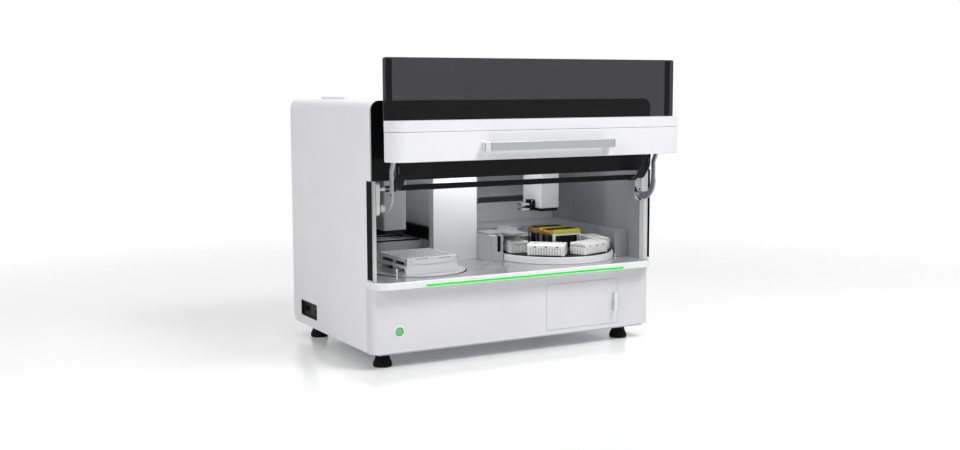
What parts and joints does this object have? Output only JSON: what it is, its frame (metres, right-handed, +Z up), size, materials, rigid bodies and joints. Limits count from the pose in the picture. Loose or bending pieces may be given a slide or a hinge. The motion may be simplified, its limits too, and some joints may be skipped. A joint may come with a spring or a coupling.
{
  "type": "nucleic acid extractor",
  "caption": "Bench-top nucleic acid extractor with a lift-up glass door, a plate turntable, a rack carousel and two moving heads.",
  "frame": {"origin": "on the bench, under the centre of the whole machine with its door raised", "axes": "+X to the right seen from the front, +Y to the back, +Z up"},
  "size_m": [0.79, 0.657, 0.7115],
  "materials": {
    "white_shell": "satin",
    "grey_panel": "satin",
    "light_panel": "satin",
    "black_gloss": "gloss",
    "black_plastic": "matte",
    "deck_metal": "gloss",
    "galvanised_steel": "brushed",
    "steel_pin": "polished",
    "brushed_aluminium": "brushed",
    "dark_bar": "satin",
    "tinted_glass": "polished",
    "led_green": "gloss",
    "rack_white": "matte",
    "tray_yellow": "satin",
    "tip_black": "matte",
    "foot_rubber": "matte",
    "button_face": "matte",
    "seal_rubber": "matte",
    "circuit_board": "matte"
  },
  "bodies": {
    "frame": {"base_pan": "galvanised_steel", "levelling_feet": "foot_rubber", "left_side_panel": "white_shell", "right_side_panel": "white_shell", "top_cover": "white_shell", "top_vent_grille": "white_shell", "rear_panel": "light_panel", "front_fascia": "black_gloss", "front_casing": "white_shell", "shelf_lip": "white_shell", "led_strip": "led_green", "deck_plate": "deck_metal", "front_posts": "light_panel", "edge_seals": "seal_rubber", "inner_walls": "grey_panel", "back_wall": "grey_panel", "centre_column": "light_panel", "rear_platform": "grey_panel", "carousel_block": "grey_panel", "fan_cover": "light_panel", "gantry_rails": "steel_pin", "inlet_panel": "black_plastic", "power_inlet": "black_plastic", "button_bezel": "light_panel", "waste_bin": "grey_panel", "drive_motors": "dark_bar", "power_supply": "galvanised_steel", "control_board": "circuit_board", "hinge_brackets": "light_panel"},
    "upper_arms": {"upper_arms": "light_panel", "crossbar": "dark_bar"},
    "left_lower_arm": {"left_lower_arm": "light_panel"},
    "right_lower_arm": {"right_lower_arm": "light_panel"},
    "door": {"door_bar": "white_shell", "door_bar_cap": "white_shell", "door_window": "tinted_glass", "door_stiffeners": "dark_bar", "door_rear_plate": "light_panel", "door_handle": "brushed_aluminium", "door_pins": "steel_pin"},
    "access_door": {"access_door": "white_shell", "access_handle": "brushed_aluminium"},
    "power_button": {"power_button": "button_face"},
    "turntable": {"turntable_disc": "deck_metal", "plate_carrier": "light_panel", "well_plate": "light_panel"},
    "carousel": {"carousel_drum": "white_shell", "carousel_disc": "black_plastic", "reagent_racks": "rack_white", "tip_rack_frame": "brushed_aluminium", "tip_trays": "tray_yellow", "pipette_tips": "tip_black"},
    "left_head": {"left_head": "light_panel", "left_head_base": "black_plastic"},
    "head_carriage": {"head_carriage": "dark_bar"},
    "right_head": {"right_head": "light_panel", "right_head_base": "black_plastic", "gripper_body": "black_plastic"},
    "gripper_upper_jaw": {"gripper_upper_jaw": "brushed_aluminium"},
    "gripper_lower_jaw": {"gripper_lower_jaw": "brushed_aluminium"}
  },
  "joints": [
    {"name": "door_lift", "type": "hinge", "parent": "frame", "child": "upper_arms", "pos_m": [0, -0.1685, 0.417], "axis": [1, 0, 0], "range_deg": [0, 146.9]},
    {"name": "left_lower_arm_swing", "type": "hinge", "parent": "frame", "child": "left_lower_arm", "pos_m": [-0.3615, -0.1685, 0.374], "axis": [1, 0, 0], "range_deg": [0, 146.9]},
    {"name": "right_lower_arm_swing", "type": "hinge", "parent": "frame", "child": "right_lower_arm", "pos_m": [0.3615, -0.1685, 0.374], "axis": [1, 0, 0], "range_deg": [0, 146.9]},
    {"name": "door_level", "type": "hinge", "parent": "upper_arms", "child": "door", "pos_m": [0, -0.2485, 0.5434], "axis": [1, 0, 0], "range_deg": [-146.9, 0]},
    {"name": "access_door_hinge", "type": "hinge", "parent": "frame", "child": "access_door", "pos_m": [0.0825, -0.174, 0.106], "axis": [0, 0, -1], "range_deg": [0, 90]},
    {"name": "power_button_push", "type": "slide", "parent": "frame", "child": "power_button", "axis": [0, 1, 0], "range_m": [0, 0.002], "stiffness_N_per_m": 400, "springref_m": -0.001},
    {"name": "turntable_spin", "type": "hinge", "parent": "frame", "child": "turntable", "pos_m": [-0.212, -0.0565, 0.208], "axis": [0, 0, 1], "continuous": true},
    {"name": "carousel_spin", "type": "hinge", "parent": "frame", "child": "carousel", "pos_m": [0.202, -0.0185, 0.214], "axis": [0, 0, 1], "continuous": true},
    {"name": "left_head_lift", "type": "slide", "parent": "frame", "child": "left_head", "axis": [0, 0, 1], "range_m": [-0.035, 0.05]},
    {"name": "right_head_traverse", "type": "slide", "parent": "frame", "child": "head_carriage", "axis": [1, 0, 0], "range_m": [-0.08, 0.11]},
    {"name": "right_head_lift", "type": "slide", "parent": "head_carriage", "child": "right_head", "axis": [0, 0, 1], "range_m": [-0.035, 0.05]},
    {"name": "gripper_upper_jaw_close", "type": "slide", "parent": "right_head", "child": "gripper_upper_jaw", "axis": [0, 0, -1], "range_m": [0, 0.0025]},
    {"name": "gripper_lower_jaw_close", "type": "slide", "parent": "right_head", "child": "gripper_lower_jaw", "axis": [0, 0, 1], "range_m": [0, 0.0025]}
  ],
  "couplings": [
    {"joint": "left_lower_arm_swing", "follows": "door_lift", "ratio": 1},
    {"joint": "right_lower_arm_swing", "follows": "door_lift", "ratio": 1},
    {"joint": "door_level", "follows": "door_lift", "ratio": -1},
    {"joint": "gripper_lower_jaw_close", "follows": "gripper_upper_jaw_close", "ratio": 1}
  ]
}
